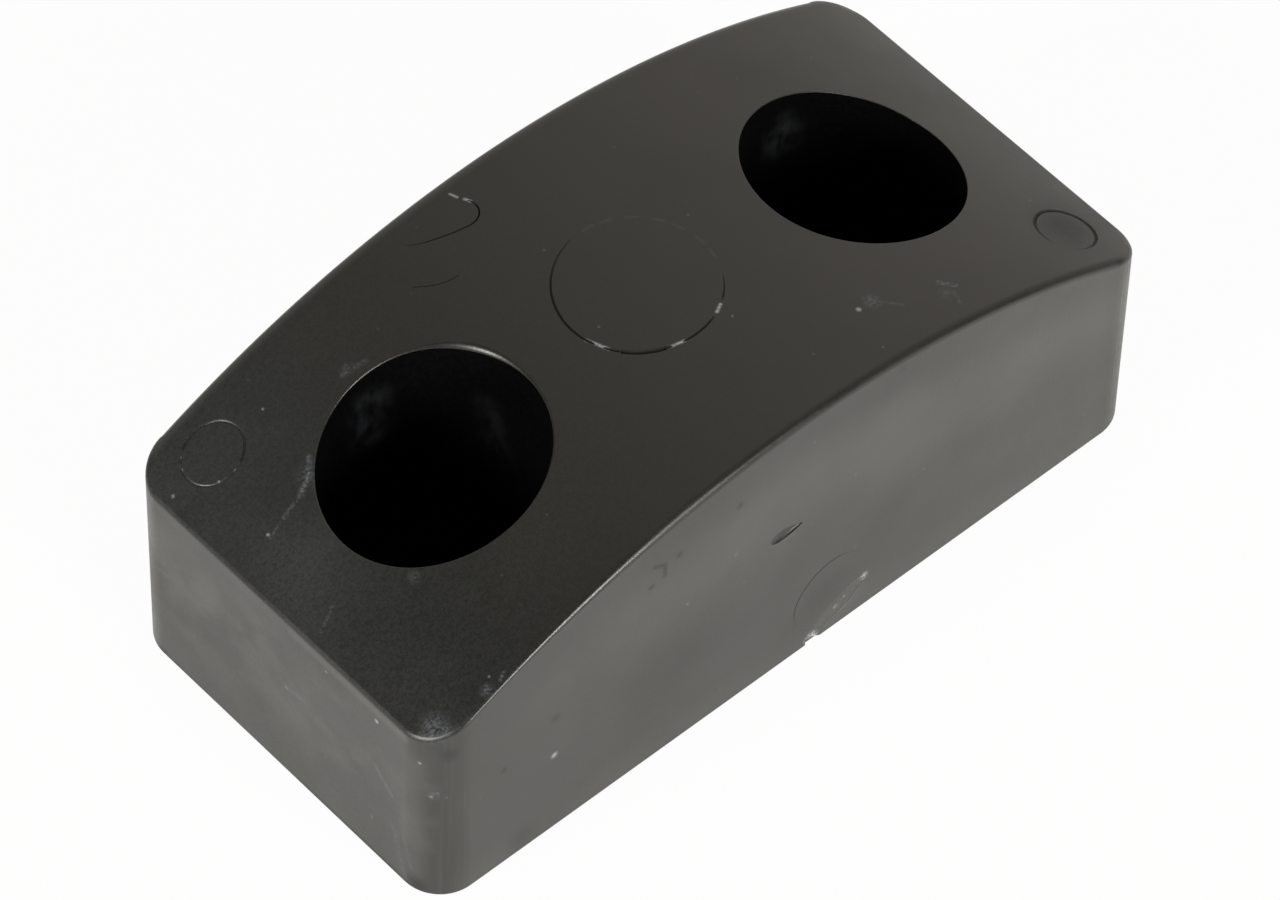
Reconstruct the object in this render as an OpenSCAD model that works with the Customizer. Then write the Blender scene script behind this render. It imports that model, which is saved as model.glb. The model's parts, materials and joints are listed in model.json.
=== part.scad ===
// Chain tensioner block: one solid plastic moulding that a chain slides over.
// The top is an arch along the chain, the base is flat, and two stepped holes
// sink the bolt heads well below the sliding face.
// X runs along the chain, Y across it and Z up from the centre of the base.

/* [Block] */
// Length along the chain
block_length = 103; // [85:1:150]
// Width across the chain
block_width = 50; // [36:1:90]
// Height of the two end walls
end_height = 27.5; // [18:0.5:60]
// Rise of the arch from the end walls to the crown
arch_rise = 14; // [6:0.5:24]

/* [Edges] */
// Radius of the four upright corners
corner_r = 5; // [2.5:0.5:10]
// Radius of the two arched edges along the sliding face
arch_edge_r = 1; // [0.2:0.1:1.5]
// Radius of the two straight edges where the arch meets the end walls
end_edge_r = 0.6; // [0.4:0.1:2]
// Radius of the edge round the base
base_edge_r = 0.6; // [0.2:0.1:1.5]

/* [Bolt holes] */
// Distance between the two bolt holes
hole_spacing = 60; // [46:1:72]
// Diameter of the holes that the bolts pass through
bolt_hole_d = 13; // [6:0.5:18]
// Diameter of the counterbores that take the bolt heads and washers
counterbore_d = 25; // [20:0.5:34]
// Thickness of plastic under the bolt heads
seat_thickness = 12; // [5:0.5:18]

/* [Moulding marks] */
// Width of the fine line round each mark
witness_w = 0.3; // [0.2:0.05:0.6]
// Depth of that line
witness_depth = 0.15; // [0.05:0.05:0.3]
// Diameter of the insert disc at the crown
crown_mark_d = 18.6; // [10:0.2:20]
// Diameter of the two ejector pin discs
pin_mark_d = 7; // [3:0.5:9]
// Distance of an ejector pin's centre from the end wall
pin_mark_from_end = 7; // [5:0.5:9]
// Distance of an ejector pin's centre from the long wall
pin_mark_from_side = 6.5; // [5:0.5:9]
// Radius of the round tip of the vent's tongue, which opens to the back edge
vent_tip_r = 1.85; // [1:0.05:2.5]
// Distance of that tip's centre from the middle of the length
vent_tip_offset = 8.5; // [4:0.1:11]
// Distance of that tip's centre from the back wall
vent_tip_from_side = 4.8; // [3:0.1:6]
// Angle between the tongue's long side and the back edge
vent_long_angle = 25; // [20:1:40]
// Angle between the tongue's short side and the back edge
vent_short_angle = 71; // [55:1:85]
// Distance from the middle of the length to where the long side ends
vent_reach = 16.2; // [13:0.1:19]
// Diameter of the gate disc low on the front wall
gate_mark_d = 10.8; // [6:0.2:13]
// Distance of the gate disc's centre from the middle of the length
gate_mark_offset = 5.1; // [0:0.1:20]
// Height of the gate disc's centre above the base
gate_mark_height = 7.4; // [7.2:0.1:16]

/* [Damage] */
// Length of the nick in the front wall
nick_length = 4.8; // [3:0.2:8]
// Width of the nick
nick_w = 1.5; // [0.6:0.1:2.4]
// Depth of the nick
nick_depth = 0.4; // [0.2:0.1:0.8]
// Slant of the nick
nick_tilt = 6; // [0:1:15]
// Distance of the nick's centre from the middle of the length
nick_offset = 1.9; // [0:0.1:20]
// Height of the nick above the base
nick_height = 23.9; // [18:0.1:26]
// Length of the chip in the base edge below the gate
chip_length = 2.5; // [1:0.1:4]
// Height of the chip at its tall end
chip_height = 2; // [0.8:0.1:2.4]
// Depth of the chip
chip_depth = 0.5; // [0.2:0.1:0.8]
// Distance of the chip's tall end from the middle of the length
chip_offset = 1.7; // [0:0.1:20]

/* [Hidden] */
$fn = 96;
// Clear overrun of every cutting shape past the face that it cuts
overrun = 2;
crown_height = end_height + arch_rise;
// Radius of the arch through both end edges and the crown
arch_r = (pow(block_length / 2, 2) + pow(arch_rise, 2)) / (2 * arch_rise);
arch_centre_z = crown_height - arch_r;
front_y = -block_width / 2;
// Centre of the round at an end edge: inside the arch and the end wall by its own radius
end_round_x = block_length / 2 - end_edge_r;
end_round_z = arch_centre_z + sqrt(pow(arch_r - end_edge_r, 2) - pow(end_round_x, 2));
// Direction from the arch's centre through that round
end_round_angle = atan2(end_round_z - arch_centre_z, end_round_x);
// Radii along and across the round rim that leaves a nick of the wanted size
nick_rim_r = (pow(nick_length / 2, 2) + pow(nick_depth, 2)) / (2 * nick_depth);
nick_tube_r = (pow(nick_w / 2, 2) + pow(nick_depth, 2)) / (2 * nick_depth);

// Upright section of a wall-to-wall slice, with its two bottom corners rounded
module slice_profile(width) {
    translate([-width / 2, base_edge_r])
        square([width, crown_height - base_edge_r]);
    translate([base_edge_r - width / 2, 0])
        square([width - 2 * base_edge_r, 2 * base_edge_r]);
    for (side = [-1, 1])
        translate([side * (width / 2 - base_edge_r), base_edge_r])
            circle(r = base_edge_r);
}

// Half section of an upright corner, turned about the corner's axis
module corner_profile() {
    intersection() {
        slice_profile(2 * corner_r);
        square([corner_r, crown_height]);
    }
}

// Straight-topped blank with round upright corners and a rounded base edge
module blank() {
    across = block_width - 2 * corner_r;
    along = block_length - 2 * corner_r;
    rotate([90, 0, 0])
        linear_extrude(height = across, center = true)
            slice_profile(block_length);
    rotate([90, 0, 90])
        linear_extrude(height = along, center = true)
            slice_profile(block_width);
    for (end = [-1, 1], side = [-1, 1])
        translate([end * along / 2, side * across / 2, 0])
            rotate_extrude()
                corner_profile();
}

// Wheel whose rim is the sliding face, with both of its edges rounded
module arch_wheel() {
    translate([0, 0, arch_centre_z])
        rotate([90, 0, 0])
            rotate_extrude() {
                translate([0, -block_width / 2])
                    square([arch_r - arch_edge_r, block_width]);
                translate([0, arch_edge_r - block_width / 2])
                    square([arch_r, block_width - 2 * arch_edge_r]);
                for (side = [-1, 1])
                    translate([arch_r - arch_edge_r, side * (block_width / 2 - arch_edge_r)])
                        circle(r = arch_edge_r);
            }
}

// What is cut off along the top of one end wall to leave its edge round
module end_edge_cut() {
    reach = end_edge_r + overrun;
    rotate([90, 0, 0])
        linear_extrude(height = block_width + 2 * overrun, center = true)
            translate([end_round_x, end_round_z])
                difference() {
                    polygon([
                        [0, 0],
                        [reach, 0],
                        [reach, reach],
                        [reach * cos(end_round_angle), reach * sin(end_round_angle)]
                    ]);
                    circle(r = end_edge_r);
                }
}

// Stepped hole: a clear hole for the bolt and a wide one for its head and washer
module bolt_hole() {
    translate([0, 0, -overrun])
        cylinder(d = bolt_hole_d, h = seat_thickness + 2 * overrun);
    translate([0, 0, seat_thickness])
        cylinder(d = counterbore_d, h = crown_height - seat_thickness + overrun);
}

// Ring of the witness line round a disc
module witness_ring(diameter, height) {
    difference() {
        cylinder(d = diameter + witness_w, h = height);
        translate([0, 0, -overrun])
            cylinder(d = diameter - witness_w, h = height + 2 * overrun);
    }
}

// Shape of the vent's tongue: a round tip with two sides that part towards the back edge
module vent_tongue(grow) {
    tip_r = vent_tip_r + grow;
    reach = block_width;
    long_foot = tip_r * [-sin(vent_long_angle), -cos(vent_long_angle)];
    short_foot = tip_r * [sin(vent_short_angle), cos(vent_short_angle)];
    circle(r = tip_r);
    polygon([
        long_foot,
        short_foot,
        short_foot + reach * [-cos(vent_short_angle), sin(vent_short_angle)],
        long_foot + reach * [-cos(vent_long_angle), sin(vent_long_angle)]
    ]);
}

// Witness line round the vent's tongue, as far as its long side reaches
module vent_line(height) {
    line_length = vent_reach - vent_tip_offset;
    translate([-vent_tip_offset, block_width / 2 - vent_tip_from_side, 0])
        linear_extrude(height = height)
            intersection() {
                difference() {
                    vent_tongue(witness_w / 2);
                    vent_tongue(-witness_w / 2);
                }
                translate([-line_length, -block_width / 2])
                    square([line_length + block_width, block_width]);
            }
}

// Fine lines that the mould's inserts, pins and vent left on the sliding face
module arch_marks() {
    pin_x = block_length / 2 - pin_mark_from_end;
    pin_y = block_width / 2 - pin_mark_from_side;
    difference() {
        union() {
            witness_ring(crown_mark_d, crown_height + overrun);
            for (end = [-1, 1])
                translate([end * pin_x, -end * pin_y, 0])
                    witness_ring(pin_mark_d, crown_height + overrun);
            vent_line(crown_height + overrun);
        }
        translate([0, 0, arch_centre_z])
            rotate([90, 0, 0])
                cylinder(r = arch_r - witness_depth, h = 2 * block_width, center = true);
    }
}

// Fine line round the gate, where the plastic entered the mould
module gate_mark() {
    translate([gate_mark_offset, front_y + witness_depth, gate_mark_height])
        rotate([90, 0, 0])
            witness_ring(gate_mark_d, witness_depth + overrun);
}

// Leaf-shaped nick in the front wall, scooped out by a round rim
module nick() {
    translate([-nick_offset, front_y + nick_depth - nick_rim_r, nick_height])
        rotate([0, nick_tilt, 0])
            rotate_extrude()
                translate([nick_rim_r - nick_tube_r, 0])
                    circle(r = nick_tube_r);
}

// Chip broken out of the base edge, tall at one end and running out at the other
module chip() {
    translate([chip_offset, front_y + chip_depth, 0])
        rotate([90, 0, 0])
            linear_extrude(height = chip_depth + overrun)
                polygon([
                    [0, -overrun],
                    [chip_length, -overrun],
                    [chip_length, chip_height / 10],
                    [0, chip_height]
                ]);
}

module tensioner_block() {
    color([0.16, 0.16, 0.155])
        difference() {
            intersection() {
                blank();
                arch_wheel();
            }
            end_edge_cut();
            mirror([1, 0, 0])
                end_edge_cut();
            for (end = [-1, 1])
                translate([end * hole_spacing / 2, 0, 0])
                    bolt_hole();
            arch_marks();
            gate_mark();
            nick();
            chip();
        }
}

tensioner_block();
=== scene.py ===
import json
import math
import bmesh
import bpy
from mathutils import Matrix, Vector


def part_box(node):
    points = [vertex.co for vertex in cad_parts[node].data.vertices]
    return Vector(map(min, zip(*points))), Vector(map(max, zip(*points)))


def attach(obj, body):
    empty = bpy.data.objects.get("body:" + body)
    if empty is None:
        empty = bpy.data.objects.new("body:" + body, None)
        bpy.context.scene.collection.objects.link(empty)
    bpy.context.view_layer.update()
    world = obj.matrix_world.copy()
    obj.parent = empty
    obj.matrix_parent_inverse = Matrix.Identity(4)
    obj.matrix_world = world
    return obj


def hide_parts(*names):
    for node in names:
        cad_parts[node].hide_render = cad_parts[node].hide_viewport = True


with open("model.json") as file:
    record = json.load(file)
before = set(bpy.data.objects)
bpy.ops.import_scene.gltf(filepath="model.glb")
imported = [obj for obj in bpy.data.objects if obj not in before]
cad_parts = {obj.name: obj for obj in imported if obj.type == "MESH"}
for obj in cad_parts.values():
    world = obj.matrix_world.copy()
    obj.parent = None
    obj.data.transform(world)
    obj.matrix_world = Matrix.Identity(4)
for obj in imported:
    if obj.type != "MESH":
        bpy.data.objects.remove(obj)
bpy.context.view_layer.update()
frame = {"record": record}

# The blank: one solid moulding in black plastic with a flat base and an arched top.
# It comes out of the mould with round upright corners and a small round on every
# edge. Thin upright slices along the length give the arch its even curve.
mm = 0.001
block_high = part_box("tensioner_block")[1]
half_length = block_high.x
half_width = block_high.y
crown_height = block_high.z
arch_rise = 14 * mm
arch_radius = (half_length ** 2 + arch_rise ** 2) / (2 * arch_rise)
arch_centre_z = crown_height - arch_radius
corner_radius = 5 * mm
corner_steps = 16
top_edge_round = 1 * mm
end_edge_round = 0.4 * mm
crisp_edge_round = 0.45 * mm
near_crisp_start = -16 * mm
near_crisp_run = 26 * mm
base_edge_round = 0.6 * mm
edge_steps = 6
slice_width = 1 * mm
same_place = 1e-6
merge_gap = 1e-7


def arch_height(x):
    """Height of the sliding face above the base at a place along the length."""
    return arch_centre_z + math.sqrt(arch_radius ** 2 - x ** 2)


def new_piece(name, mesh):
    """Puts a finished bmesh into the scene as an object at the origin."""
    piece = bpy.data.objects.new(name, bpy.data.meshes.new(name))
    mesh.to_mesh(piece.data)
    mesh.free()
    bpy.context.scene.collection.objects.link(piece)
    return piece


def round_edges(mesh, edges, radius, steps):
    """Rounds a run of edges with an even arc."""
    bmesh.ops.bevel(mesh, geom=edges, offset=radius, offset_type="OFFSET", segments=steps, profile=0.5,
                    affect="EDGES", clamp_overlap=False, material=-1)


def edges_at_height(mesh, height):
    """The outline of the flat face at a height."""
    return [edge for edge in mesh.edges if all(abs(vert.co.z - height) < same_place for vert in edge.verts)]


def out_of_corner(point):
    """The level way out to a point from the nearest upright corner's axis or the line between two."""
    over_x = max(abs(point.x) - (half_length - corner_radius), 0)
    over_y = max(abs(point.y) - (half_width - corner_radius), 0)
    return Vector((math.copysign(over_x, point.x), math.copysign(over_y, point.y), 0))


blank = bmesh.new()
bmesh.ops.create_cube(blank, size=1)
bmesh.ops.scale(blank, vec=(2 * half_length, 2 * half_width, crown_height), verts=blank.verts)
bmesh.ops.translate(blank, vec=(0, 0, crown_height / 2), verts=blank.verts)
uprights = [edge for edge in blank.edges if abs(edge.verts[0].co.z - edge.verts[1].co.z) > crown_height / 2]
round_edges(blank, uprights, corner_radius, corner_steps)
round_edges(blank, edges_at_height(blank, 0), base_edge_round, edge_steps)
round_edges(blank, edges_at_height(blank, crown_height), top_edge_round, edge_steps)
slice_count = round(2 * half_length / slice_width)
for number in range(1, slice_count):
    cut_x = half_length * (2 * number / slice_count - 1)
    everything = blank.verts[:] + blank.edges[:] + blank.faces[:]
    bmesh.ops.bisect_plane(blank, geom=everything, dist=merge_gap, plane_co=(cut_x, 0, 0), plane_no=(1, 0, 0))
# The round along the top is tighter at the end walls, at the corners and at the near front
crispness = 1 - crisp_edge_round / top_edge_round
for vert in blank.verts:
    if vert.co.z > crown_height / 2:
        outward = out_of_corner(vert.co)
        inset = corner_radius - outward.length
        drop = crown_height - vert.co.z
        outward.normalize()
        at_end = outward.x ** 2 * (1 - end_edge_round / top_edge_round)
        at_corner = math.sqrt(2 * abs(outward.x * outward.y)) * crispness
        near_share = min(max((near_crisp_start - vert.co.x) / near_crisp_run, 0), 1)
        at_near_front = near_share * max(-outward.y, 0) * crispness
        tightness = max(at_end, at_corner, at_near_front)
        if inset < top_edge_round + same_place:
            vert.co += outward * inset * tightness + Vector((0, 0, drop * tightness))
for vert in blank.verts:
    if vert.co.z > crown_height / 2:
        vert.co.z += arch_height(vert.co.x) - crown_height
block = new_piece("moulded_block", blank)
plastic = bpy.data.materials.new("black_plastic")
shaded_bore_plastic = bpy.data.materials.new("shaded_bore_plastic")
block.data.materials.append(plastic)
block.data.materials.append(shaded_bore_plastic)
bore_slot = 1

# The stepped holes: each is a plain hole for the bolt with a wide mouth above it
# that sinks the bolt's head, both straight from the mould's core pins. The mouth
# breaks through the arch, so its small round follows the arch's slope.
mounts = {mount["name"]: mount for mount in frame["record"]["mounts"]}
bolt_radius = mounts["bolt_hole_near"]["dims"]["r_mm"] * mm
seat_height = mounts["bolt_hole_near"]["dims"]["length_mm"] * mm
mouth_radius = mounts["counterbore_near"]["dims"]["r_mm"] * mm
hole_offset = abs(mounts["counterbore_near"]["pos_m"][0])
near_mouth_round = 0.25 * mm
near_mouth_wear = 2
far_mouth_round = 0.12 * mm
far_mouth_wear = 0
wear_direction = math.radians(29)
wear_focus = 12
flare_angle = math.radians(15)
mouth_angles = (105, 120, 135, 150, 165, 180)
hole_steps = 128
overrun = 2 * mm


def spun(profile, steps):
    """Turns a closed outline of (radius, height) points into a plug about Z."""
    mesh = bmesh.new()
    verts = [mesh.verts.new((radius, 0, height)) for radius, height in profile]
    edges = [mesh.edges.new(pair) for pair in zip(verts, verts[1:] + verts[:1])]
    bmesh.ops.spin(mesh, geom=verts + edges, axis=(0, 0, 1), cent=(0, 0, 0), angle=math.tau, steps=steps,
                   use_merge=True)
    bmesh.ops.remove_doubles(mesh, verts=mesh.verts, dist=merge_gap)
    bmesh.ops.dissolve_degenerate(mesh, edges=mesh.edges, dist=merge_gap)
    bmesh.ops.recalc_face_normals(mesh, faces=mesh.faces)
    return mesh


def cut(piece, cutter):
    """Takes the shape of a cutter out of a piece and removes the cutter."""
    tool = new_piece("cutter", cutter)
    boolean = piece.modifiers.new("cut", "BOOLEAN")
    boolean.operation = "DIFFERENCE"
    boolean.solver = "EXACT"
    boolean.object = tool
    bpy.context.view_layer.update()
    result = bpy.data.meshes.new_from_object(piece.evaluated_get(bpy.context.evaluated_depsgraph_get()))
    piece.modifiers.clear()
    piece.data = result
    bpy.data.objects.remove(tool)


def hole_cutter(place_x, mouth_round, wear):
    """The shape of one stepped hole, with a flared mouth lifted to the arch and worn wider at the back."""
    mouth_arc = []
    for degrees in mouth_angles:
        turn = math.radians(degrees)
        arc_radius = mouth_radius + mouth_round * (1 + math.cos(turn))
        mouth_arc.append((arc_radius, mouth_round * (math.sin(turn) - 1)))
    first_radius, first_height = mouth_arc[0]
    run_out = 0.5 * mouth_round
    flare = (first_radius + run_out, first_height + run_out * math.tan(flare_angle))
    floor_level = seat_height - arch_height(place_x)
    base_level = -arch_height(place_x) - overrun
    profile = [(0, overrun), (flare[0], overrun), flare, *mouth_arc, (mouth_radius, floor_level),
               (bolt_radius, floor_level), (bolt_radius, base_level), (0, base_level)]
    mesh = spun(profile, hole_steps)
    for face in mesh.faces:
        if max(vert.co.xy.length for vert in face.verts) < mouth_radius + 0.01 * mm:
            face.material_index = bore_slot
    for vert in mesh.verts:
        follows_arch = vert.co.z > -2 * mouth_round
        if follows_arch and vert.co.z < overrun / 2:
            from_axis = vert.co.xy.length
            towards_wear = max(math.cos(math.atan2(vert.co.y, vert.co.x) - wear_direction), 0)
            growth = wear * towards_wear ** wear_focus
            vert.co.xy *= 1 + growth * (from_axis - mouth_radius) / from_axis
            vert.co.z *= 1 + growth
        vert.co.x += place_x
        vert.co.z += arch_height(vert.co.x) if follows_arch else arch_height(place_x)
    return mesh


cut(block, hole_cutter(-hole_offset, near_mouth_round, near_mouth_wear))
cut(block, hole_cutter(hole_offset, far_mouth_round, far_mouth_wear))

# The moulding marks: fine witness lines where the mould's inserts, ejector pins, vent
# and gate met the plastic. Each is a narrow slot in the face that it lies in. The
# inserts sat a little askew, so a line fades out where it rises from the face.
break_lift = 0.3
break_width = math.radians(6)
ring_points = 48
groove_sides = 2
groove_steps = 6
seam_gap = 1e-4
skin_slot = 0
towards_far_back = math.radians(33)
towards_near_front = math.radians(227)
towards_tear = math.radians(-45)


def on_arch(x, y, lift=0):
    """A point on the sliding face, from its place seen from above in millimetres."""
    return Vector((x * mm, y * mm, arch_height(x * mm) + lift * mm))


def on_front(x, z, lift=0):
    """A point on the front wall, from its place in millimetres."""
    return Vector((x * mm, -half_width - lift * mm, z * mm))


def ring(centre, radius, rise=0, lean=0, breaks=(), least_lift=0):
    """A flat ring of points in millimetres, lifted on the side of the lean and at its breaks."""
    route = []
    for number in range(ring_points):
        turn = math.tau * number / ring_points
        lift = least_lift + rise * (1 + math.cos(turn - lean)) / 2
        for degrees in breaks:
            apart = math.remainder(turn - math.radians(degrees), math.tau)
            lift += break_lift * math.exp(-(apart / break_width) ** 2)
        route.append((centre[0] + radius * math.cos(turn), centre[1] + radius * math.sin(turn), lift))
    return route


def groove(surface, route, width, depth, closed=True, slot=bore_slot):
    """A slot cutter that runs smoothly along a flat route in millimetres, laid on a surface."""
    line = bpy.data.curves.new("groove", "CURVE")
    line.dimensions = "3D"
    line.twist_mode = "Z_UP"
    line.bevel_depth = width / 2
    line.bevel_resolution = groove_sides
    line.extrude = max(depth - width / 2, 0)
    line.resolution_u = groove_steps
    line.use_fill_caps = True
    spline = line.splines.new("BEZIER")
    spline.bezier_points.add(len(route) - 1)
    spline.use_cyclic_u = closed
    for knot, point in zip(spline.bezier_points, route):
        knot.co = point
        knot.handle_left_type = "AUTO"
        knot.handle_right_type = "AUTO"
    tool = bpy.data.objects.new("groove", line)
    bpy.context.scene.collection.objects.link(tool)
    bpy.context.view_layer.update()
    tube = bpy.data.meshes.new_from_object(tool.evaluated_get(bpy.context.evaluated_depsgraph_get()))
    bpy.data.objects.remove(tool)
    mesh = bmesh.new()
    mesh.from_mesh(tube)
    bmesh.ops.remove_doubles(mesh, verts=mesh.verts, dist=seam_gap)
    for vert in mesh.verts:
        vert.co = surface(*vert.co)
    bmesh.ops.recalc_face_normals(mesh, faces=mesh.faces)
    for face in mesh.faces:
        face.material_index = slot
    return mesh


# Places, radii and lifts in millimetres; each line has a width and a depth
crown_centre = (-1.1, 0.4)
crown_radius = 9.2
crown_rise = 0.33
crown_glints = (202, 256, 297)
crown_line = (0.3, 0.24)
wide_stretch = slice(29, 34)
wide_line = (0.6, 0.3)
pin_radius = 3.4
near_pin = (-44.7, 18.7)
near_pin_breaks = (128, 150, 283)
near_pin_line = (0.34, 0.17)
far_pin = (44.7, -18.3)
far_pin_rise = 0.19
far_pin_lift = 0.11
far_pin_line = (0.6, 0.3)
gate_centre = (5.1, 7.4)
gate_radius = 5.4
gate_rise = 0.06
gate_lift = 0.09
gate_line = (0.3, 0.15)
vent_path = [
    (-8.3, 25.4, 0.1), (-7.7, 22.6, 0.3), (-7, 20.9, 0.2), (-6.8, 20, 0), (-7.1, 19, 0), (-8.2, 18.3, 0),
    (-10, 18.5, 0), (-12.6, 19.4, 0.05), (-14.5, 20.3, 0.12), (-16, 21.5, 0.22),
]
vent_line = (0.2, 0.21)
faint_path = [(-18.6, 16.7, 0.2), (-17.1, 15.4, 0.12), (-15.7, 14.6, 0.12), (-14.1, 14.2, 0.2)]
faint_line = (0.2, 0.24)
crown_ring = ring(crown_centre, crown_radius, crown_rise, towards_far_back, crown_glints)
crown_arc = ring(crown_centre, crown_radius)[wide_stretch]
near_pin_ring = ring(near_pin, pin_radius, breaks=near_pin_breaks)
far_pin_ring = ring(far_pin, pin_radius, far_pin_rise, towards_near_front, least_lift=far_pin_lift)
gate_ring = ring(gate_centre, gate_radius, gate_rise, towards_tear, least_lift=gate_lift)
# Slots that take the bores' material are painted dark there as shade
cut(block, groove(on_arch, crown_ring, *crown_line))
cut(block, groove(on_arch, crown_arc, *wide_line, closed=False))
cut(block, groove(on_arch, near_pin_ring, *near_pin_line, slot=skin_slot))
cut(block, groove(on_arch, far_pin_ring, *far_pin_line))
cut(block, groove(on_front, gate_ring, *gate_line, slot=skin_slot))
cut(block, groove(on_arch, vent_path, *vent_line, closed=False))
cut(block, groove(on_arch, faint_path, *faint_line, closed=False))

# The damage on the front wall: a leaf-shaped gouge where something hard caught the
# plastic, the torn lower side of the gate's disc, and a chip in the base edge below.
nick_place = on_front(-2.1, 23.9)
nick_size = (2.3 * mm, 0.45 * mm, 0.8 * mm)
nick_taper = 0.5
nick_turn = math.radians(4)
tear_start = on_front(2.9, 2.2)
tear_end = on_front(10.1, 5.7)
tear_depth = 0.03 * mm
tear_height = 1.3 * mm
chip_start = 1.7 * mm
chip_length = 2.5 * mm
chip_height = 2 * mm
chip_thin_share = 0.1
chip_depth = 0.5 * mm
gouge_sides = 24
gouge_rings = 12
sharp_angle = math.radians(40)


def gouge(size):
    """A rounded scoop about the origin."""
    mesh = bmesh.new()
    bmesh.ops.create_uvsphere(mesh, u_segments=gouge_sides, v_segments=gouge_rings, radius=1)
    bmesh.ops.scale(mesh, vec=size, verts=mesh.verts)
    return mesh


nick = gouge(nick_size)
for vert in nick.verts:
    vert.co.z *= 1 - nick_taper * vert.co.x / nick_size[0]
bmesh.ops.rotate(nick, cent=(0, 0, 0), matrix=Matrix.Rotation(nick_turn, 3, "Y"), verts=nick.verts)
bmesh.ops.translate(nick, vec=nick_place, verts=nick.verts)
cut(block, nick)
tear_run = tear_end - tear_start
tear = gouge((tear_run.length / 2, tear_depth, tear_height))
tear_turn = Matrix.Rotation(-math.atan2(tear_run.z, tear_run.x), 3, "Y")
bmesh.ops.rotate(tear, cent=(0, 0, 0), matrix=tear_turn, verts=tear.verts)
bmesh.ops.translate(tear, vec=(tear_start + tear_end) / 2, verts=tear.verts)
cut(block, tear)
chip = bmesh.new()
bmesh.ops.create_cube(chip, size=1)
bmesh.ops.scale(chip, vec=(chip_length, 2 * chip_depth, 2 * chip_height), verts=chip.verts)
for vert in chip.verts:
    if vert.co.x > 0 and vert.co.z > 0:
        vert.co.z = chip_thin_share * chip_height
bmesh.ops.translate(chip, vec=(chip_start + chip_length / 2, -half_width, 0), verts=chip.verts)
cut(block, chip)

# Smooth shading that keeps the edges of the slots, the holes and the damage sharp
for face in block.data.polygons:
    face.use_smooth = True
block.data.set_sharp_from_angle(angle=sharp_angle)
even_shading = block.modifiers.new("even_shading", "WEIGHTED_NORMAL")
even_shading.keep_sharp = True

# The plastic: a hard black moulding compound with a satin skin, greyer outside than in the
# bores, where it is painted dark as shade. Handling has left cloudy walls, dust in the grain, pale scuffs on
# corners and rims, dark smudges, and white where the gate was torn off; painted sheen, highlights, glints and
# shade sit on top.
plastic.use_nodes = True
deep_black = (0.0128, 0.0125, 0.0108, 1)
soft_black = (0.0164, 0.0159, 0.0138, 1)
smudge_and_shade_black = (0.004, 0.004, 0.004, 1)
grey_bloom = (0.033, 0.036, 0.0375, 1)
# Grey for the walls' haze and their painted sheen
wall_haze_and_sheen = (0.0505, 0.0497, 0.045, 1)
# Grey for the painted edge highlights
edge_highlight_grey = (0.075, 0.073, 0.068, 1)
scuff_blue = (0.12, 0.135, 0.15, 1)
# White for the specks and the painted glints
speck_and_glint_white = (0.34, 0.36, 0.37, 1)
torn_white = (0.72, 0.74, 0.75, 1)
plastic_ior = 1.6
skin_roughness = 0.36
cloud_roughness = 0.12
mottle_roughness = 0.05
dull_roughness = 0.55
specks_per_metre = 380
mark_falloff = 1.6


def feed(tree, socket, value):
    """Links an output to a socket, or sets the socket's own value."""
    if isinstance(value, bpy.types.NodeSocket):
        tree.links.new(value, socket)
    else:
        socket.default_value = value


def calc(tree, operation, *values):
    """A Math node."""
    node = tree.nodes.new("ShaderNodeMath")
    node.operation = operation
    for socket, value in zip(node.inputs, values):
        feed(tree, socket, value)
    return node.outputs[0]


def vector_calc(tree, operation, *values):
    """A Vector Math node, which gives a number for a length, distance or dot product."""
    node = tree.nodes.new("ShaderNodeVectorMath")
    node.operation = operation
    for socket, value in zip(node.inputs, values):
        feed(tree, socket, value)
    gives_number = operation in ("LENGTH", "DISTANCE", "DOT_PRODUCT")
    return node.outputs["Value" if gives_number else "Vector"]


def fade(tree, value, start, end, strength=1):
    """Rises smoothly from 0 where a value is at its start to a strength at its end."""
    node = tree.nodes.new("ShaderNodeMapRange")
    node.interpolation_type = "SMOOTHSTEP"
    feed(tree, node.inputs["Value"], value)
    node.inputs["From Min"].default_value = start
    node.inputs["From Max"].default_value = end
    node.inputs["To Max"].default_value = strength
    return node.outputs["Result"]


def blend(tree, amount, first, second):
    """Goes from one colour to another by an amount."""
    node = tree.nodes.new("ShaderNodeMix")
    node.data_type = "RGBA"
    feed(tree, node.inputs["Factor"], amount)
    feed(tree, node.inputs["A"], first)
    feed(tree, node.inputs["B"], second)
    return node.outputs["Result"]


def noise(tree, place, per_metre, detail):
    """Soft random cloud, with a number of patches per metre along X, Y and Z."""
    node = tree.nodes.new("ShaderNodeTexNoise")
    feed(tree, node.inputs["Vector"], vector_calc(tree, "MULTIPLY", place, per_metre))
    node.inputs["Scale"].default_value = 1
    node.inputs["Detail"].default_value = detail
    return node.outputs["Fac"]


def most(tree, masks):
    """The strongest of several masks."""
    result = masks[0]
    for mask in masks[1:]:
        result = calc(tree, "MAXIMUM", result, mask)
    return result


def spots(tree, place, rows):
    """Round marks, each with its centre, its reach in millimetres and its strength."""
    masks = []
    for centre, reach, strength in rows:
        gap = vector_calc(tree, "DISTANCE", place, centre)
        masks.append(fade(tree, gap, reach * mm, 0, strength))
    return most(tree, masks)


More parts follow.
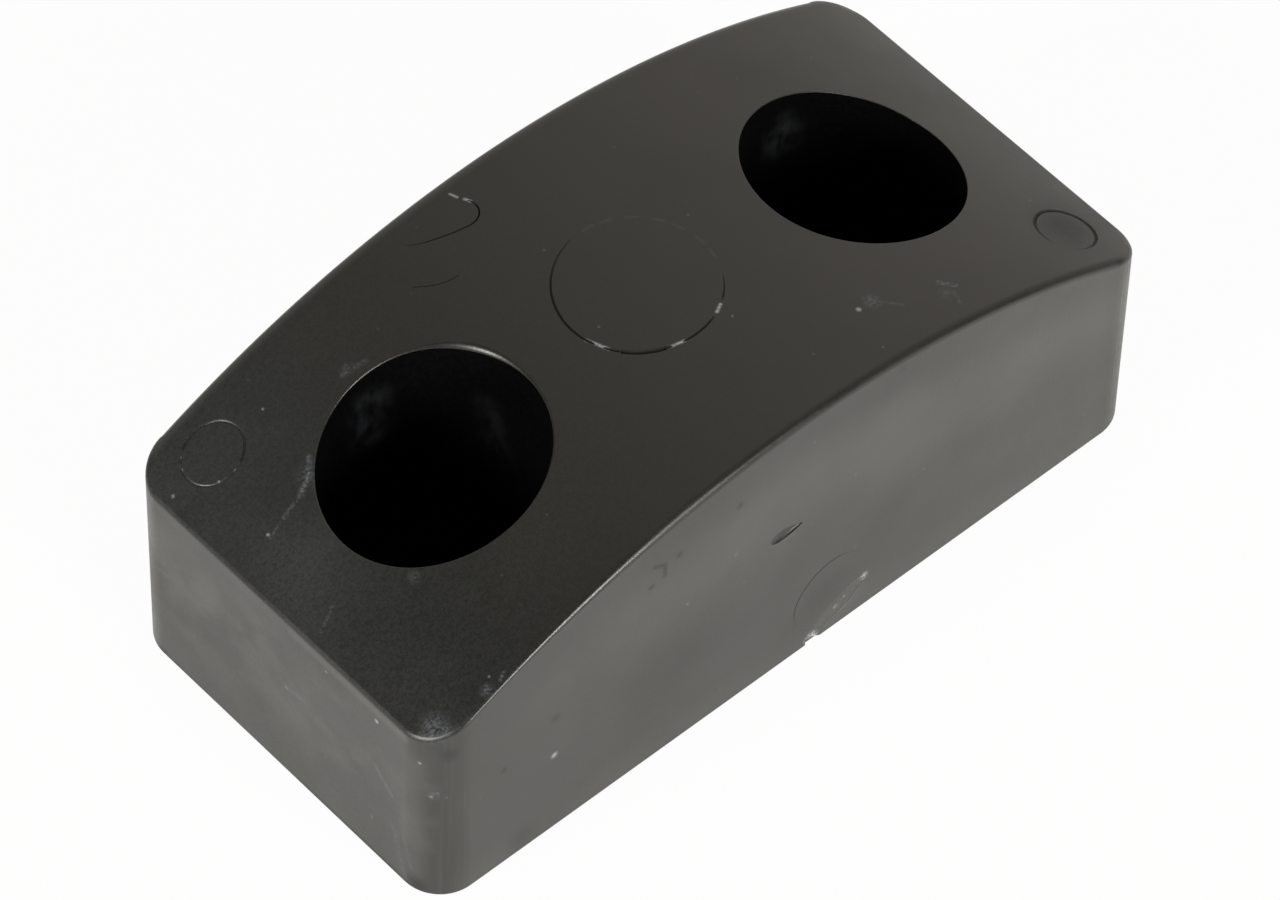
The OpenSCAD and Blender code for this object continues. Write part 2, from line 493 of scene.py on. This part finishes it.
def strokes(tree, place, rows):
    """Straight marks, each with its two ends, its reach in millimetres and its strength."""
    masks = []
    for start, end, reach, strength in rows:
        run = end - start
        from_start = vector_calc(tree, "SUBTRACT", place, start)
        along = calc(tree, "DIVIDE", vector_calc(tree, "DOT_PRODUCT", from_start, run), run.length_squared)
        along = calc(tree, "MINIMUM", calc(tree, "MAXIMUM", along, 0), 1)
        foot = tree.nodes.new("ShaderNodeVectorMath")
        foot.operation = "SCALE"
        foot.inputs[0].default_value = run
        feed(tree, foot.inputs["Scale"], along)
        gap = vector_calc(tree, "DISTANCE", from_start, foot.outputs["Vector"])
        masks.append(fade(tree, gap, reach * mm, 0, strength))
    return most(tree, masks)


def on_end(y, z):
    """A point on the near end wall, from its place in millimetres."""
    return Vector((-half_length, y * mm, z * mm))


def on_corner(degrees, z):
    """A point on the near front corner, from its compass direction about the corner's axis and its height."""
    turn = math.radians(degrees)
    axis = Vector((corner_radius - half_length, corner_radius - half_width, z * mm))
    return axis + Vector((math.cos(turn), math.sin(turn), 0)) * corner_radius


grain = bpy.data.node_groups.new("moulded_grain", "ShaderNodeTree")
grain.interface.new_socket("Place", in_out="INPUT", socket_type="NodeSocketVector")
grain.interface.new_socket("Mottle", in_out="OUTPUT", socket_type="NodeSocketFloat")
grain.interface.new_socket("Height", in_out="OUTPUT", socket_type="NodeSocketFloat")
grain_place = grain.nodes.new("NodeGroupInput").outputs["Place"]
grain_result = grain.nodes.new("NodeGroupOutput")
coarse_grain = noise(grain, grain_place, (2000, 2000, 2000), 2)
fine_grain = noise(grain, grain_place, (4200, 4200, 4200), 2)
sink_ripple = noise(grain, grain_place, (160, 160, 160), 1)
both_grains = calc(grain, "ADD", coarse_grain, fine_grain)
feed(grain, grain_result.inputs["Mottle"], fade(grain, both_grains, 0.7, 1.3))
fine_height = calc(grain, "MULTIPLY", fine_grain, 0.007 * mm)
ripple_height = calc(grain, "MULTIPLY", sink_ripple, 0.02 * mm)
feed(grain, grain_result.inputs["Height"], calc(grain, "ADD", fine_height, ripple_height))


def add_grain(tree, place):
    """Places the grain in a material and gives its mottle and a bumped normal."""
    node = tree.nodes.new("ShaderNodeGroup")
    node.node_tree = grain
    feed(tree, node.inputs["Place"], place)
    relief = tree.nodes.new("ShaderNodeBump")
    relief.inputs["Strength"].default_value = 1
    relief.inputs["Distance"].default_value = 1
    feed(tree, relief.inputs["Height"], node.outputs["Height"])
    return node.outputs["Mottle"], relief.outputs["Normal"]


skin = plastic.node_tree
coordinates = skin.nodes.new("ShaderNodeTexCoord")
place = coordinates.outputs["Object"]
axes = skin.nodes.new("ShaderNodeSeparateXYZ")
skin.links.new(place, axes.inputs[0])
facing = skin.nodes.new("ShaderNodeSeparateXYZ")
skin.links.new(coordinates.outputs["Normal"], facing.inputs[0])
on_top = fade(skin, facing.outputs["Z"], 0.5, 0.8)
on_near_end = fade(skin, facing.outputs["X"], -0.5, -0.8)
mottle, grain_normal = add_grain(skin, place)
cloud = noise(skin, place, (70, 70, 70), 3)
wide_cloud = noise(skin, place, (32, 32, 50), 2)
breakup = noise(skin, place, (3000, 3000, 3000), 3)

# Dust in the grain at the near end, haze on the walls with painted sheen on the front wall, and a few loose
# specks
back_dust = fade(skin, axes.outputs["Y"], -5 * mm, 15 * mm, 0.28)
near_dust = calc(skin, "ADD", fade(skin, mottle, -0.8, 1, 0.31), back_dust)
near_dust = calc(skin, "MULTIPLY", near_dust, fade(skin, axes.outputs["X"], -22 * mm, -47 * mm))
dust_patch = spots(skin, place, [(on_arch(-47.5, 2), 11, 0.95)])
dust_patch = calc(skin, "MULTIPLY", dust_patch, fade(skin, breakup, 0.1, 0.8))
near_dust = calc(skin, "MULTIPLY", calc(skin, "ADD", near_dust, dust_patch), on_top)
end_cloud = noise(skin, place, (110, 130, 160), 3)
end_bloom_and_shade = calc(skin, "MULTIPLY", fade(skin, end_cloud, 0.4, 0.65, 0.7), on_near_end)
# Painted shade: the end wall's bloom fades out, so it is darker towards its base and its top edge
end_bloom_and_shade = calc(skin, "MULTIPLY", end_bloom_and_shade, fade(skin, axes.outputs["Z"], 2 * mm, 14 * mm))
end_bloom_and_shade = calc(skin, "MULTIPLY", end_bloom_and_shade, fade(skin, axes.outputs["Z"], 28 * mm, 18 * mm))
arch_level = calc(skin, "SUBTRACT", arch_radius ** 2, calc(skin, "POWER", axes.outputs["X"], 2))
arch_level = calc(skin, "ADD", calc(skin, "SQRT", arch_level), arch_centre_z)
below_arch = calc(skin, "SUBTRACT", arch_level, axes.outputs["Z"])
# Painted sheen on the front wall: lighter in a band below the arch, towards the far end and near the base
sheen_band = fade(skin, axes.outputs["Z"], 14 * mm, 27 * mm, 0.7)
sheen_band = calc(skin, "MULTIPLY", sheen_band, fade(skin, below_arch, 2 * mm, 11 * mm))
sheen_band = calc(skin, "MULTIPLY", sheen_band, fade(skin, axes.outputs["X"], -46 * mm, -24 * mm))
haze_and_sheen = calc(skin, "ADD", sheen_band, fade(skin, axes.outputs["X"], 8 * mm, 45 * mm, 0.45))
haze_and_sheen = calc(skin, "ADD", haze_and_sheen, fade(skin, wide_cloud, 0.3, 0.7, 0.2))
haze_and_sheen = calc(skin, "ADD", haze_and_sheen, fade(skin, axes.outputs["Z"], 6 * mm, 1 * mm, 0.3))
haze_and_sheen = calc(skin, "MULTIPLY", haze_and_sheen, fade(skin, axes.outputs["X"], 51 * mm, 44 * mm))
haze_and_sheen = calc(skin, "MULTIPLY", haze_and_sheen, fade(skin, facing.outputs["Y"], -0.8, -0.98))
other_sides = [fade(skin, facing.outputs["X"], 0.5, 0.95), fade(skin, facing.outputs["Y"], 0.5, 0.95)]
other_sides.append(fade(skin, facing.outputs["Z"], -0.5, -0.95))
other_haze = calc(skin, "MULTIPLY", most(skin, other_sides), fade(skin, cloud, 0.3, 0.7, 0.5))
haze_and_sheen = most(skin, [haze_and_sheen, other_haze])
drag_lines = fade(skin, noise(skin, place, (900, 900, 24), 2), 0.5, 0.75, 0.5)
drag_lines = calc(skin, "MULTIPLY", drag_lines, fade(skin, facing.outputs["Y"], -0.6, -0.85))
drag_lines = calc(skin, "MULTIPLY", drag_lines, fade(skin, axes.outputs["X"], -43 * mm, -46 * mm))
# Painted highlights: a light band under the end wall's top edge, stronger towards the front corner, a light
# streak up the near front corner and a light band along the back top edge
edge_highlight_paths = [
    (on_end(21, 26.4), on_end(-2, 26.4), 1.1, 0.12), (on_end(-2, 26.4), on_end(-20, 26.4), 1.1, 0.55),
    (on_corner(197, 4), on_corner(197, 23), 2.2, 0.3),
]
back_edge_highlight = fade(skin, axes.outputs["Y"], half_width - 1.6 * mm, half_width - 0.3 * mm, 0.7)
back_edge_highlight = calc(skin, "MULTIPLY", back_edge_highlight, on_top)
painted_edge_highlights = most(skin, [strokes(skin, place, edge_highlight_paths), back_edge_highlight])
speck_cells = skin.nodes.new("ShaderNodeTexVoronoi")
speck_cells.inputs["Scale"].default_value = specks_per_metre
skin.links.new(place, speck_cells.inputs["Vector"])
speck_pick = skin.nodes.new("ShaderNodeSeparateXYZ")
skin.links.new(speck_cells.outputs["Color"], speck_pick.inputs[0])
loose_specks = calc(skin, "MULTIPLY", fade(skin, speck_cells.outputs["Distance"], 0.085, 0.02),
                    fade(skin, speck_pick.outputs["X"], 0.6, 1, 0.55))

# Single specks and chips that catch the light
white_specks = spots(skin, place, [
    (on_arch(-38.3, 18), 0.3, 0.7), (on_arch(-50.2, 18.8), 0.4, 0.8), (on_arch(-46.3, 15.8), 0.3, 0.8),
    (on_arch(-46.8, 7.2), 0.35, 0.9), (on_arch(9.5, 4.1), 0.25, 0.5), (on_arch(3.5, -9.5), 0.25, 0.6),
    (on_arch(6.6, -18.8), 0.2, 0.4), (on_arch(14.8, -17), 0.55, 1), (on_arch(44.6, -12.8), 0.35, 0.35),
    (on_arch(-42.5, -23.1), 0.3, 0.6), (on_end(-7.6, 25.2), 0.4, 0.6), (on_end(-15.7, 24.8), 0.55, 1),
    (on_front(-34.9, 13.4), 0.8, 1), (on_front(-16.3, 23.7), 0.4, 0.5), (on_front(-9.5, 26.4), 0.4, 0.4),
    (on_front(1.3, 36.6), 0.35, 0.35), (on_front(8.4, 12.2), 0.5, 0.25), (on_front(43.3, 6.4), 0.4, 0.3),
    (on_end(-1, 15.6), 0.45, 0.5), (on_end(-14.8, 6.7), 0.4, 0.4), (on_corner(204, 23.6), 0.45, 0.7),
    (on_corner(218, 18.1), 0.4, 0.5), (on_corner(226, 18.9), 0.3, 0.4), (on_corner(237, 18), 0.35, 0.3),
])
white_specks = calc(skin, "POWER", white_specks, mark_falloff)
white_specks = calc(skin, "MULTIPLY", white_specks, fade(skin, breakup, 0.2, 0.5))

# Pale scuffs, broken up by the grain
soft_scuffs = spots(skin, place, [
    (on_arch(-49.4, -22.3), 2.3, 0.75), (on_arch(-48.9, -23.4), 1.3, 0.8), (on_arch(-43.6, -24), 1.1, 0.7),
    (on_arch(16.8, -16.9), 1.5, 0.65), (on_arch(24.5, -20.4), 1.3, 0.35), (on_arch(-40.4, -8.8), 1.1, 0.45),
    (on_arch(-29.6, 14.4), 1.2, 0.4), (on_arch(-40, 8.5), 2.2, 0.35), (on_corner(221, 18.3), 1.1, 0.6),
])
scuff_lines = strokes(skin, place, [
    (on_arch(-38.7, 10), on_arch(-40.2, 8.4), 0.5, 1), (on_arch(-40.2, 8.4), on_arch(-41.9, 7.6), 0.6, 0.9),
    (on_arch(-41.9, 7.6), on_arch(-44.6, 7.2), 0.4, 0.45),
    (on_arch(-45.2, 7.1), on_arch(-46.9, 6.7), 0.3, 0.4),
    (on_arch(-47.5, -4.1), on_arch(-50, -5.1), 0.35, 0.35),
    (on_arch(24.9, -18.7), on_arch(26.2, -20), 0.5, 1),
    (on_arch(17.7, -17.6), on_arch(19.2, -19.2), 0.4, 0.3),
    (on_arch(25.4, -20.6), on_arch(24.8, -22.2), 0.4, 0.35),
    (on_arch(-42, -24.3), on_arch(-41.2, -24), 0.35, 0.7),
    (on_arch(-30.4, 14.3), on_arch(-27.8, 13.6), 0.5, 0.45),
    (on_end(19.9, 15.4), on_end(17.9, 15.6), 0.8, 0.4), (on_end(5.8, 17.2), on_end(3.3, 17), 0.8, 0.35),
    (on_end(-0.9, 15.8), on_end(-3.9, 16), 0.6, 0.5), (on_end(-15.5, 16.6), on_end(-16.6, 15.3), 0.55, 0.7),
    (on_end(-16.6, 15.3), on_end(-18.1, 13.9), 0.6, 0.8), (on_front(-4, 23.2), on_front(-1, 22.7), 0.5, 0.45),
    (on_end(-18.3, 8.4), on_end(-19.9, 1.3), 0.7, 0.4), (on_end(-19.3, 10.9), on_end(-21.1, 3.6), 0.5, 0.35),
])
scuffs = calc(skin, "MULTIPLY", most(skin, [soft_scuffs, scuff_lines]), fade(skin, breakup, 0.3, 0.7))


def on_crown_ring(degrees):
    """A point on the crown's line, from its compass direction."""
    turn = math.radians(degrees)
    x = crown_centre[0] + crown_radius * math.cos(turn)
    y = crown_centre[1] + crown_radius * math.sin(turn)
    return on_arch(x, y)


# Painted glints on short stretches of the crown's and the vent's lines, and faint painted flecks of light
# round the crown
fleck_starts = (-16, -2, 16, 30, 48, 66, 80)
fleck_length = 8
painted_glints = [
    (on_crown_ring(192), on_crown_ring(209), 0.36, 1), (on_crown_ring(251), on_crown_ring(261), 0.34, 1),
    (on_crown_ring(294), on_crown_ring(301), 0.38, 1),
]
for start in fleck_starts:
    painted_glints.append((on_crown_ring(start), on_crown_ring(start + fleck_length), 0.35, 0.16))
painted_glints.append((on_arch(-7.9, 22.9), on_arch(-7.6, 22), 0.3, 0.8))
painted_glints.append((on_arch(-7.2, 21.3), on_arch(-6.9, 20.6), 0.34, 1))
painted_ring_glints = calc(skin, "POWER", strokes(skin, place, painted_glints), mark_falloff)
painted_ring_glints = calc(skin, "MULTIPLY", painted_ring_glints, fade(skin, breakup, 0.2, 0.55))

# Dark smudges on the walls and the near front corner, and painted shade along the end wall's base, under the
# near front corner's top edge and round the far ejector pin
smudges_and_shade = most(skin, [
    spots(skin, place, [
        (on_front(-41.9, 17.1), 0.7, 0.8), (on_front(-34.8, 20), 1.1, 0.6), (on_front(-9.2, 34.6), 0.9, 0.6),
        (on_front(-39.4, 2.7), 3.5, 0.4), (on_corner(199, 1.2), 2, 0.9), (on_end(20, 0.5), 1.6, 0.7),
        (on_end(17.6, 0.3), 1.2, 0.7), (on_front(13.9, 38.6), 0.7, 0.4), (on_front(-21.6, 31.2), 0.8, 0.6),
        (on_front(-17.7, 33.5), 0.8, 0.6), (on_front(4, 8.5), 5, 0.2), (on_arch(44.8, -17.8), 6, 0.75),
        (on_corner(240, 25.6), 1.8, 0.7),
    ]),
    strokes(skin, place, [
        (on_front(-21.2, 34.3), on_front(-19.8, 33.5), 0.6, 0.6),
        (on_front(-19.8, 33.5), on_front(-19.7, 31.7), 0.6, 0.6),
        (on_end(21, 0.3), on_end(13, 0.2), 0.9, 0.8), (on_end(-3, 0.3), on_end(-21, 0.5), 0.9, 0.8),
    ]),
])

# White plastic where the gate tore off and the base edge chipped
torn_ends = spots(skin, place, [
    (tear_end, 0.9, 0.6), (on_front(2.5, 1.2), 1.4, 1),
    (on_front(7.3, 4.4), 0.5, 0.25), (on_front(6, 3.7), 0.6, 0.3),
])
torn_run = strokes(skin, place, [
    (tear_start, tear_end, 1.5, 0.05), (on_front(5.2, 2), on_front(9.6, 3.8), 2.2, 0.04),
])
torn = calc(skin, "MULTIPLY", most(skin, [torn_ends, torn_run]), fade(skin, breakup, 0.35, 0.6))

colour = blend(skin, mottle, deep_black, soft_black)
colour = blend(skin, near_dust, colour, grey_bloom)
# Haze and painted sheen on the walls, drag streaks, and the end wall's bloom with painted shade at its base
# and top
colour = blend(skin, most(skin, [haze_and_sheen, drag_lines, end_bloom_and_shade]), colour, wall_haze_and_sheen)
# Painted edge highlights
colour = blend(skin, painted_edge_highlights, colour, edge_highlight_grey)
# Dark smudges and painted shade
colour = blend(skin, smudges_and_shade, colour, smudge_and_shade_black)
colour = blend(skin, most(skin, [scuffs, loose_specks]), colour, scuff_blue)
# White specks, and the painted glints
colour = blend(skin, most(skin, [white_specks, painted_ring_glints]), colour, speck_and_glint_white)
colour = blend(skin, torn, colour, torn_white)
least_roughness = skin_roughness - (cloud_roughness + mottle_roughness) / 2
roughness = calc(skin, "ADD", least_roughness, fade(skin, cloud, 0.25, 0.75, cloud_roughness))
roughness = calc(skin, "ADD", roughness, fade(skin, mottle, 0, 1, mottle_roughness))
worn = most(skin, [scuffs, torn, smudges_and_shade])
roughness = calc(skin, "ADD", roughness, calc(skin, "MULTIPLY", worn, dull_roughness - skin_roughness))
shader = skin.nodes["Principled BSDF"]
shader.inputs["IOR"].default_value = plastic_ior
feed(skin, shader.inputs["Base Color"], colour)
feed(skin, shader.inputs["Roughness"], roughness)
feed(skin, shader.inputs["Normal"], grain_normal)

# The same plastic inside the holes, painted near black as shade and left dull, with
# a few faint streaks of painted light below the mouths. Outside the holes it is painted
# dark as shade in the witness lines, and left matt.
shaded_bore_plastic.use_nodes = True
bore_shade_black = (0.0012, 0.0012, 0.0013, 1)
bore_shade_grey = (0.003, 0.003, 0.0033, 1)
# Grey for the painted lit streaks
bore_lit_grey = (0.025, 0.027, 0.031, 1)
line_shade = (0.028, 0.027, 0.025, 1)
far_line_shade = (0.06, 0.058, 0.054, 1)
bore_roughness = 0.8
bore_gloss = 0.02
bore = shaded_bore_plastic.node_tree
bore_place = bore.nodes.new("ShaderNodeTexCoord").outputs["Object"]
bore_mottle, bore_normal = add_grain(bore, bore_place)
# Painted light: faint lit streaks on the bore walls below the mouths, broken into patches
painted_bore_lights = strokes(bore, bore_place, [
    (Vector((-28.6, 12.4, 32)) * mm, Vector((-28.2, 12.4, 27)) * mm, 4, 0.9),
    (Vector((-18.4, 4.7, 31)) * mm, Vector((-17.9, 3.1, 23)) * mm, 3, 0.3),
    (Vector((30.8, 12.5, 31)) * mm, Vector((31.4, 12.4, 28.5)) * mm, 4, 0.9),
])
light_patches = noise(bore, bore_place, (450, 450, 250), 3)
painted_bore_lights = calc(bore, "MULTIPLY", painted_bore_lights, fade(bore, light_patches, 0.35, 0.75))
# Painted shade in the witness-line slots, lighter towards the far end
from_axes = vector_calc(bore, "ABSOLUTE", vector_calc(bore, "MULTIPLY", bore_place, (1, 1, 0)))
off_axis = vector_calc(bore, "DISTANCE", from_axes, (hole_offset, 0, 0))
in_lines = calc(bore, "GREATER_THAN", off_axis, mouth_radius + 0.2 * mm)
# Painted shade: the holes are near black
bore_colour = blend(bore, bore_mottle, bore_shade_black, bore_shade_grey)
along_block = vector_calc(bore, "DOT_PRODUCT", bore_place, (1, 0, 0))
line_shade_colour = blend(bore, fade(bore, along_block, 20 * mm, 40 * mm), line_shade, far_line_shade)
bore_colour = blend(bore, in_lines, bore_colour, line_shade_colour)
bore_shader = bore.nodes["Principled BSDF"]
bore_shader.inputs["IOR"].default_value = plastic_ior
bore_shader.inputs["Specular IOR Level"].default_value = bore_gloss
feed(bore, bore_shader.inputs["Base Color"], blend(bore, painted_bore_lights, bore_colour, bore_lit_grey))
bore_unevenness = fade(bore, bore_mottle, 0, 1, 0.15)
feed(bore, bore_shader.inputs["Roughness"], calc(bore, "ADD", bore_roughness, bore_unevenness))
feed(bore, bore_shader.inputs["Normal"], bore_normal)

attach(block, "root")
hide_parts("tensioner_block")

# The floor: a plain pale sheet a hair below the block. It is white to the camera, warmer and
# darker near the block in the plastic's gloss, takes part of the block's shadow, is dark under
# the bolt holes, and lets a view from below see the block's underside.
floor_reach = 4
floor_gap = 0.02 * mm
floor_colour = (0.92, 0.92, 0.92, 1)
floor_roughness = 0.9
floor_glow = 0.96
white_glow = (1, 1, 1, 1)
warm_glow = (1, 0.99, 0.955, 1)
contact_shade = 0.15
shade_start = 16 * mm
shade_full = 5 * mm
hole_shade_radius = 1.3 * bolt_radius
sheet = bmesh.new()
bmesh.ops.create_grid(sheet, x_segments=1, y_segments=1, size=floor_reach)
bmesh.ops.translate(sheet, vec=(0, 0, -floor_gap), verts=sheet.verts)
floor = new_piece("floor", sheet)
paper_material = bpy.data.materials.new("pale_floor")
paper_material.use_nodes = True
paper = paper_material.node_tree
paper_shader = paper.nodes["Principled BSDF"]
paper_shader.inputs["Base Color"].default_value = floor_colour
paper_shader.inputs["Roughness"].default_value = floor_roughness
paper_shader.inputs["Specular IOR Level"].default_value = 0
ray = paper.nodes.new("ShaderNodeLightPath")
to_camera = ray.outputs["Is Camera Ray"]
through_gloss = most(paper, [ray.outputs["Is Glossy Ray"], ray.outputs["Is Transmission Ray"]])
floor_place = paper.nodes.new("ShaderNodeTexCoord").outputs["Object"]
mirrored = vector_calc(paper, "ABSOLUTE", floor_place)
hole_gap = vector_calc(paper, "DISTANCE", mirrored, (hole_offset, 0, 0))
open_floor = calc(paper, "GREATER_THAN", hole_gap, hole_shade_radius)
beyond_block = vector_calc(paper, "SUBTRACT", mirrored, (half_length, half_width, 0))
block_gap = vector_calc(paper, "LENGTH", vector_calc(paper, "MAXIMUM", beyond_block, (0, 0, 0)))
lit_floor = calc(paper, "SUBTRACT", 1, fade(paper, block_gap, shade_start, shade_full, contact_shade))
in_gloss = calc(paper, "MULTIPLY", through_gloss, lit_floor)
glow_share = calc(paper, "MULTIPLY", most(paper, [to_camera, in_gloss]), open_floor)
glow_share = calc(paper, "MULTIPLY", glow_share, floor_glow)
glow = paper.nodes.new("ShaderNodeEmission")
feed(paper, glow.inputs["Color"], blend(paper, to_camera, warm_glow, white_glow))
mixed = paper.nodes.new("ShaderNodeMixShader")
feed(paper, mixed.inputs["Fac"], glow_share)
feed(paper, mixed.inputs[1], paper_shader.outputs["BSDF"])
feed(paper, mixed.inputs[2], glow.outputs["Emission"])
one_sided = paper.nodes.new("ShaderNodeMixShader")
feed(paper, one_sided.inputs["Fac"], paper.nodes.new("ShaderNodeNewGeometry").outputs["Backfacing"])
feed(paper, one_sided.inputs[1], mixed.outputs["Shader"])
feed(paper, one_sided.inputs[2], paper.nodes.new("ShaderNodeBsdfTransparent").outputs["BSDF"])
feed(paper, paper.nodes["Material Output"].inputs["Surface"], one_sided.outputs["Shader"])
floor.data.materials.append(paper_material)

# The light: a studio with a pale wall behind the block, dark overhead, and two low
# softboxes on either side of the camera.
wall_direction = Vector((0.72, 0.49, 0.35)).normalized()
wall_light = (0.766, 0.718, 0.66, 1)
wall_start = 0.3
overhead_light = (0.06, 0.06, 0.06, 1)
world = bpy.data.worlds.new("studio")
world.use_nodes = True
studio = world.node_tree
direction = studio.nodes.new("ShaderNodeTexCoord").outputs["Generated"]
towards_wall = vector_calc(studio, "DOT_PRODUCT", direction, wall_direction)
spread = studio.nodes.new("ShaderNodeMapRange")
spread.inputs["From Min"].default_value = wall_start
spread.inputs["From Max"].default_value = 1
feed(studio, spread.inputs["Value"], towards_wall)
room_light = blend(studio, spread.outputs["Result"], overhead_light, wall_light)
feed(studio, studio.nodes["Background"].inputs["Color"], room_light)
bpy.context.scene.world = world
softbox_distance = 1.5
softbox_elevation = math.radians(23)
softbox_height = 0.6
left_colour = (1, 0.98, 0.9)
right_colour = (1, 0.99, 0.93)


def softbox(name, azimuth, width, watts, colour):
    """A wide soft lamp that points at the block from a compass direction."""
    lamp = bpy.data.lights.new(name, "AREA")
    lamp.shape = "RECTANGLE"
    lamp.size = width
    lamp.size_y = softbox_height
    lamp.energy = watts
    lamp.color = colour
    tilted = Vector((math.cos(softbox_elevation), 0, math.sin(softbox_elevation)))
    outward = Matrix.Rotation(math.radians(azimuth), 3, "Z") @ tilted
    lamp_object = bpy.data.objects.new(name, lamp)
    lamp_object.location = outward * softbox_distance
    lamp_object.rotation_euler = (-outward).to_track_quat("-Z", "Y").to_euler()
    bpy.context.scene.collection.objects.link(lamp_object)


softbox("left_softbox", azimuth=180, width=0.5, watts=16.5, colour=left_colour)
softbox("right_softbox", azimuth=268, width=0.6, watts=18, colour=right_colour)

# The camera: the photograph's own view, from above one front corner with a long lens.
view_azimuth = math.radians(-43.318)
view_elevation = math.radians(51.97)
view_roll = math.radians(1.843)
view_aim = Vector((-4.349 * mm, -4.267 * mm, 20 * mm))
view_distance = 841.22 * mm
view_lens = 219.78
sensor_width = 36
view_back = Vector((
    math.sin(view_azimuth) * math.cos(view_elevation),
    -math.cos(view_azimuth) * math.cos(view_elevation),
    math.sin(view_elevation),
))
camera = bpy.data.objects.new("camera", bpy.data.cameras.new("camera"))
bpy.context.scene.collection.objects.link(camera)
camera.data.lens = view_lens
camera.data.sensor_width = sensor_width
camera.location = view_aim + view_back * view_distance
turn = (-view_back).to_track_quat("-Z", "Y").to_matrix() @ Matrix.Rotation(view_roll, 3, "Z")
camera.rotation_euler = turn.to_euler()
bpy.context.scene.camera = camera
bpy.context.scene.view_settings.view_transform = "Standard"
